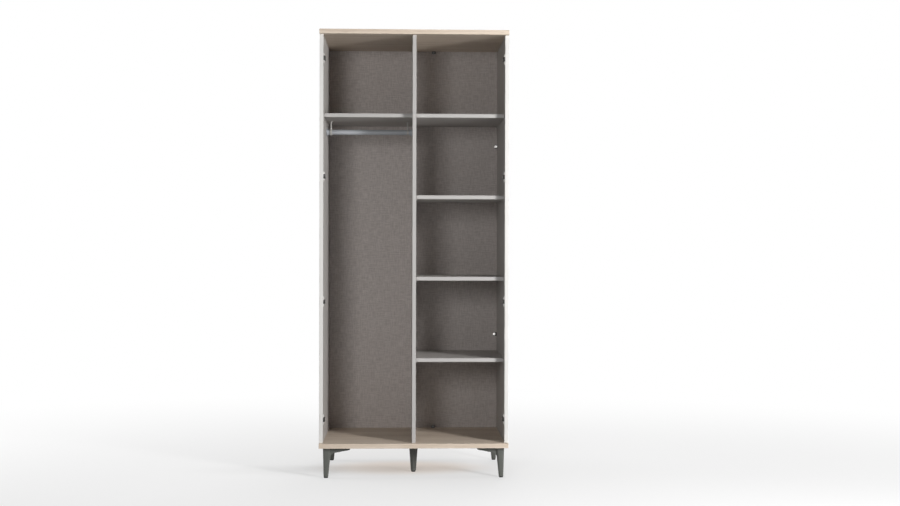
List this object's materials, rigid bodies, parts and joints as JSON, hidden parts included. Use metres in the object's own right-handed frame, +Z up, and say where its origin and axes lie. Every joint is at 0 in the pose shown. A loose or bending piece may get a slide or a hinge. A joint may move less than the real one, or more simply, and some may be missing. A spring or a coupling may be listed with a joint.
{
  "type": "wardrobe",
  "caption": "Tall open-front wardrobe carcass on cast legs: a hanging bay with hat shelf and clothes rail beside a bay of shelves, with hinge plates ready for doors.",
  "frame": {"origin": "on the floor under the middle of the carcass", "axes": "+Z up, -Y out of the open front, +X towards the shelf bay, on the viewer's right"},
  "size_m": [0.9, 0.58, 2.13],
  "materials": {
    "oak_board": "satin pale oak",
    "greige_board": "matt pale greige",
    "linen_back": "matt linen print",
    "beech_dowel": "raw",
    "rail_steel": "satin",
    "nickel_fitting": "nickel plated",
    "cast_leg": "satin grey",
    "glide_plastic": "matt",
    "fastener_plastic": "matt"
  },
  "bodies": {
    "carcass": {"top_panel": "oak_board", "bottom_panel": "oak_board", "left_side_panel": "greige_board", "right_side_panel": "greige_board", "centre_divider": "greige_board", "hat_shelf": "greige_board", "right_shelf_1": "greige_board", "left_back_panel": "linen_back", "right_back_panel": "linen_back", "left_shelf_dowel_front": "beech_dowel", "left_shelf_dowel_rear": "beech_dowel", "divider_shelf_dowel_front": "beech_dowel", "divider_shelf_dowel_rear": "beech_dowel", "right_shelf_dowel_front": "beech_dowel", "right_shelf_dowel_rear": "beech_dowel", "shelf_2_pin_front_left": "nickel_fitting", "shelf_2_pin_front_right": "nickel_fitting", "shelf_2_pin_rear_left": "nickel_fitting", "shelf_2_pin_rear_right": "nickel_fitting", "shelf_3_pin_front_left": "nickel_fitting", "shelf_3_pin_front_right": "nickel_fitting", "shelf_3_pin_rear_left": "nickel_fitting", "shelf_3_pin_rear_right": "nickel_fitting", "shelf_4_pin_front_left": "nickel_fitting", "shelf_4_pin_front_right": "nickel_fitting", "shelf_4_pin_rear_left": "nickel_fitting", "shelf_4_pin_rear_right": "nickel_fitting", "clothes_rail": "rail_steel", "left_rail_socket": "nickel_fitting", "left_rail_hanger": "nickel_fitting", "left_hinge_plate_1": "nickel_fitting", "left_hinge_plate_2": "nickel_fitting", "left_hinge_plate_3": "nickel_fitting", "left_hinge_plate_4": "nickel_fitting", "right_rail_socket": "nickel_fitting", "right_rail_hanger": "nickel_fitting", "right_hinge_plate_1": "nickel_fitting", "right_hinge_plate_2": "nickel_fitting", "right_hinge_plate_3": "nickel_fitting", "right_hinge_plate_4": "nickel_fitting", "top_back_fastener": "fastener_plastic", "bottom_back_fastener": "fastener_plastic", "upper_back_fastener": "fastener_plastic", "lower_back_fastener": "fastener_plastic", "front_left_leg": "cast_leg", "front_right_leg": "cast_leg", "rear_left_leg": "cast_leg", "rear_right_leg": "cast_leg", "centre_leg": "cast_leg"},
    "right_shelf_2": {"right_shelf_2": "greige_board"},
    "right_shelf_3": {"right_shelf_3": "greige_board"},
    "right_shelf_4": {"right_shelf_4": "greige_board"},
    "front_left_glide": {"front_left_glide": "glide_plastic"},
    "front_right_glide": {"front_right_glide": "glide_plastic"},
    "rear_left_glide": {"rear_left_glide": "glide_plastic"},
    "rear_right_glide": {"rear_right_glide": "glide_plastic"},
    "centre_glide": {"centre_glide": "glide_plastic"}
  },
  "joints": [
    {"name": "right_shelf_2_draw", "type": "slide", "parent": "carcass", "child": "right_shelf_2", "axis": [0, -1, 0], "range_m": [0, 0.54]},
    {"name": "right_shelf_3_draw", "type": "slide", "parent": "carcass", "child": "right_shelf_3", "axis": [0, -1, 0], "range_m": [0, 0.54]},
    {"name": "right_shelf_4_draw", "type": "slide", "parent": "carcass", "child": "right_shelf_4", "axis": [0, -1, 0], "range_m": [0, 0.54]},
    {"name": "front_left_glide_screw", "type": "slide", "parent": "carcass", "child": "front_left_glide", "axis": [0, 0, -1], "range_m": [0, 0.01]},
    {"name": "front_right_glide_screw", "type": "slide", "parent": "carcass", "child": "front_right_glide", "axis": [0, 0, -1], "range_m": [0, 0.01]},
    {"name": "rear_left_glide_screw", "type": "slide", "parent": "carcass", "child": "rear_left_glide", "axis": [0, 0, -1], "range_m": [0, 0.01]},
    {"name": "rear_right_glide_screw", "type": "slide", "parent": "carcass", "child": "rear_right_glide", "axis": [0, 0, -1], "range_m": [0, 0.01]},
    {"name": "centre_glide_screw", "type": "slide", "parent": "carcass", "child": "centre_glide", "axis": [0, 0, -1], "range_m": [0, 0.01]}
  ]
}
